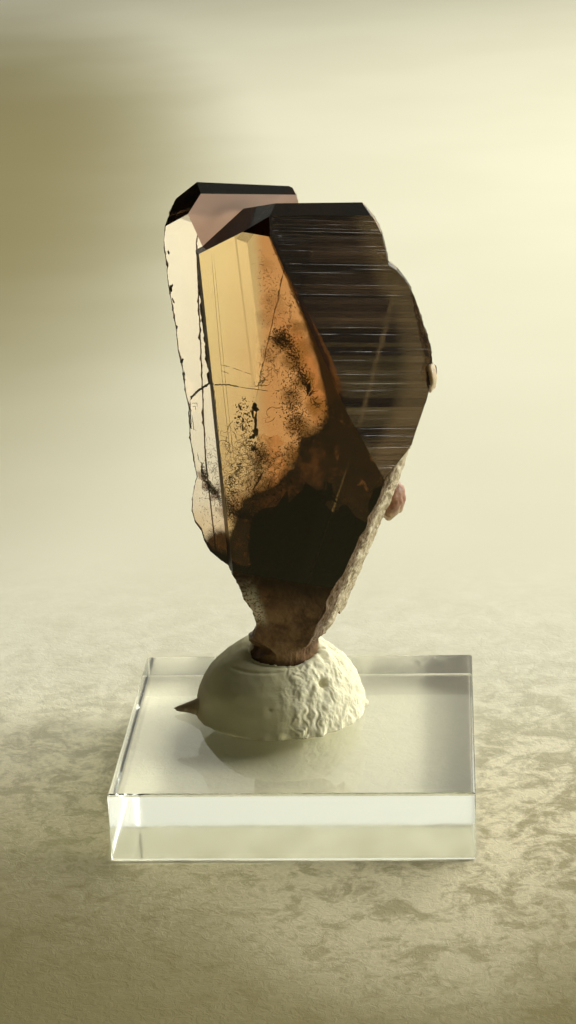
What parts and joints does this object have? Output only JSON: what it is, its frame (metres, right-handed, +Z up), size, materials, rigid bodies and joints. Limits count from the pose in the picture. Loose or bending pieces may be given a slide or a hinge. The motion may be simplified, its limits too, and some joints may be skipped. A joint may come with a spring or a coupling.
{
  "type": "axinite crystal specimen on a display base",
  "caption": "Brown translucent axinite crystal of parallel blades grown together, held upright by a lump of tack on a clear square acrylic base.",
  "frame": {"origin": "centre of the acrylic base's underside", "axes": "+Z up, -Y towards the front, where the crystal's clear window face is, +X to the right seen from the front"},
  "size_m": [0.0318, 0.0318, 0.0558],
  "materials": {
    "axinite": "transparent brown crystal with glossy natural faces, dark inclusions and rough broken edges",
    "mineral_tack": "matte pale grey-green tack, kneaded, with stretched folds",
    "acrylic": "clear polished acrylic"
  },
  "bodies": {
    "root": {"axinite_crystal": "axinite", "putty_mount": "mineral_tack", "acrylic_base": "acrylic"}
  },
  "joints": []
}
